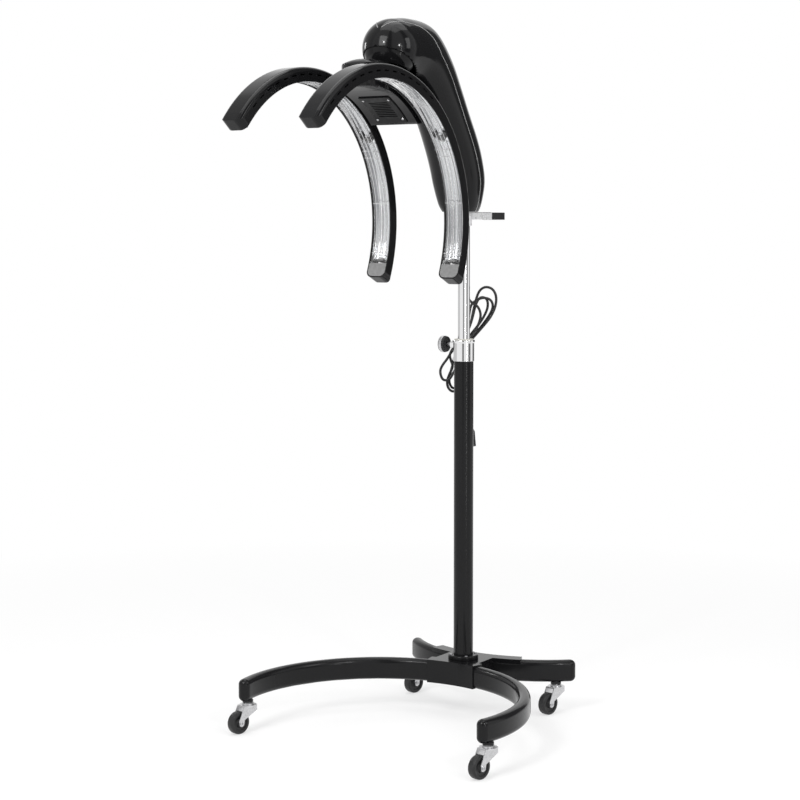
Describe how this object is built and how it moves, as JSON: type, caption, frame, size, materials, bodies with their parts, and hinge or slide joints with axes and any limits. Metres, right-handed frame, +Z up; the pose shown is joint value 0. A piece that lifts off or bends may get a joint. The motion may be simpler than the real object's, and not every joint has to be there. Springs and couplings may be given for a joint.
{
  "type": "hair colour processor on a stand",
  "caption": "Wheeled salon stand with a sliding column and a curved housing that carries bowed lamp arms over a client's head.",
  "frame": {"origin": "centre of the bounding box's base, on the floor, measured without the power lead", "axes": "+Z up, -Y toward the client, +X to the client's left as seen from the front"},
  "size_m": [0.662, 0.9057, 1.5755],
  "materials": {
    "black_paint": "gloss black paint",
    "black_shell": "gloss black moulding",
    "black_moulding": "satin black moulding",
    "chrome_tube": "polished chrome",
    "zinc_steel": "zinc-plated steel",
    "hidden_steel": "plain steel",
    "wheel_rubber": "grey-black wheel rubber",
    "reflector_aluminium": "bright rolled aluminium",
    "lamp_glass": "quartz tube",
    "lamp_ceramic": "pale ceramic",
    "guard_wire": "plated wire",
    "cord_rubber": "black cable sheath",
    "panel_face": "dark grey panel",
    "nylon": "natural nylon"
  },
  "bodies": {
    "stand": {"front_leg": "black_paint", "rear_leg": "black_paint", "leg_end_caps": "black_moulding", "caster_sockets": "black_moulding", "hub_block": "hidden_steel", "base_cover": "black_shell", "mast_flange": "black_paint", "mast_tube": "black_paint", "mast_anchor": "hidden_steel", "clamp_collar": "chrome_tube"},
    "guide": {"guide_bush": "nylon"},
    "column": {"column_tube": "chrome_tube", "column_foot": "nylon", "handle_bracket": "zinc_steel", "handle_grip": "black_moulding", "housing_front": "black_shell", "housing_rear": "black_shell", "housing_frame": "hidden_steel", "control_panel": "panel_face", "cord_gland": "black_moulding", "power_lead": "cord_rubber", "power_hank": "cord_rubber", "power_tie": "black_moulding", "power_tail": "cord_rubber", "power_plug": "black_moulding"},
    "head": {"tilt_ball": "black_moulding", "centre_housing": "black_shell", "louvre_panel": "black_moulding", "panel_screws": "zinc_steel", "fan_frame": "black_moulding", "arm_hinge_pins": "zinc_steel"},
    "clamp_tip": {"clamp_pad": "nylon"},
    "clamp_handle": {"clamp_knob": "black_moulding", "clamp_screw": "zinc_steel"},
    "timer": {"timer_dial": "black_moulding"},
    "heat": {"heat_dial": "black_moulding"},
    "button": {"power_button": "black_moulding"},
    "arm_right": {"arm_shell_right": "black_shell", "arm_nose_cap_right": "black_shell", "arm_tail_cap_right": "black_shell", "reflector_right": "reflector_aluminium", "lamp_tubes_right": "lamp_glass", "lamp_holders_right": "lamp_ceramic", "wire_guard_right": "guard_wire"},
    "arm_left": {"arm_shell_left": "black_shell", "arm_nose_cap_left": "black_shell", "arm_tail_cap_left": "black_shell", "reflector_left": "reflector_aluminium", "lamp_tubes_left": "lamp_glass", "lamp_holders_left": "lamp_ceramic", "wire_guard_left": "guard_wire"},
    "fork_front_right": {"caster_fork_front_right": "zinc_steel"},
    "wheel_front_right": {"caster_wheel_front_right": "wheel_rubber"},
    "fork_front_left": {"caster_fork_front_left": "zinc_steel"},
    "wheel_front_left": {"caster_wheel_front_left": "wheel_rubber"},
    "fork_rear_right": {"caster_fork_rear_right": "zinc_steel"},
    "wheel_rear_right": {"caster_wheel_rear_right": "wheel_rubber"},
    "fork_rear_left": {"caster_fork_rear_left": "zinc_steel"},
    "wheel_rear_left": {"caster_wheel_rear_left": "wheel_rubber"}
  },
  "joints": [
    {"name": "column_turn", "type": "hinge", "parent": "stand", "child": "guide", "pos_m": [0, 0.29209, 0.863], "axis": [0, 0, 1], "range_deg": [-40, 12]},
    {"name": "column_lift", "type": "slide", "parent": "guide", "child": "column", "axis": [0, 0, 1], "range_m": [-0.17, 0.24]},
    {"name": "head_tilt", "type": "hinge", "parent": "column", "child": "head", "pos_m": [0, -0.00591, 1.5055], "axis": [1, 0, 0], "range_deg": [-18, 2]},
    {"name": "arm_swing_right", "type": "hinge", "parent": "head", "child": "arm_right", "pos_m": [0.0648, -0.02961, 1.39365], "axis": [0, -0.8387, 0.5446], "range_deg": [0, 25]},
    {"name": "arm_swing_left", "type": "hinge", "parent": "head", "child": "arm_left", "pos_m": [-0.0648, -0.02961, 1.39365], "axis": [0, 0.8387, -0.5446], "range_deg": [0, 25]},
    {"name": "clamp_slide", "type": "slide", "parent": "stand", "child": "clamp_tip", "axis": [-1, 0, 0], "range_m": [0, 0.003]},
    {"name": "clamp_turn", "type": "hinge", "parent": "clamp_tip", "child": "clamp_handle", "pos_m": [-0.045, 0.29209, 0.852], "axis": [-1, 0, 0], "range_deg": [0, 720]},
    {"name": "swivel_front_right", "type": "hinge", "parent": "stand", "child": "fork_front_right", "pos_m": [0.31071, -0.11949, 0.062], "axis": [0, 0, 1], "continuous": true},
    {"name": "roll_front_right", "type": "hinge", "parent": "fork_front_right", "child": "wheel_front_right", "pos_m": [0.3045, -0.14577, 0.025], "axis": [0.9732, -0.23, 0], "continuous": true},
    {"name": "swivel_front_left", "type": "hinge", "parent": "stand", "child": "fork_front_left", "pos_m": [-0.31071, -0.11949, 0.062], "axis": [0, 0, 1], "continuous": true},
    {"name": "roll_front_left", "type": "hinge", "parent": "fork_front_left", "child": "wheel_front_left", "pos_m": [-0.31692, -0.14577, 0.025], "axis": [0.9732, -0.23, 0], "continuous": true},
    {"name": "swivel_rear_right", "type": "hinge", "parent": "stand", "child": "fork_rear_right", "pos_m": [0.18416, 0.40171, 0.062], "axis": [0, 0, 1], "continuous": true},
    {"name": "roll_rear_right", "type": "hinge", "parent": "fork_rear_right", "child": "wheel_rear_right", "pos_m": [0.17794, 0.37543, 0.025], "axis": [0.9732, -0.23, 0], "continuous": true},
    {"name": "swivel_rear_left", "type": "hinge", "parent": "stand", "child": "fork_rear_left", "pos_m": [-0.18416, 0.40171, 0.062], "axis": [0, 0, 1], "continuous": true},
    {"name": "roll_rear_left", "type": "hinge", "parent": "fork_rear_left", "child": "wheel_rear_left", "pos_m": [-0.19037, 0.37543, 0.025], "axis": [0.9732, -0.23, 0], "continuous": true},
    {"name": "timer_turn", "type": "hinge", "parent": "column", "child": "timer", "pos_m": [0, 0.26747, 1.36347], "axis": [0, 0.8387, 0.5446], "range_deg": [-300, 0]},
    {"name": "heat_turn", "type": "hinge", "parent": "column", "child": "heat", "pos_m": [0, 0.2435, 1.40037], "axis": [0, 0.8387, 0.5446], "range_deg": [-270, 0]},
    {"name": "button_press", "type": "slide", "parent": "column", "child": "button", "axis": [0, -0.8387, -0.5446], "range_m": [0, 0.002], "stiffness_N_per_m": 300}
  ],
  "couplings": [
    {"joint": "clamp_turn", "follows": "clamp_slide", "rad_per_m": 4188.8}
  ]
}
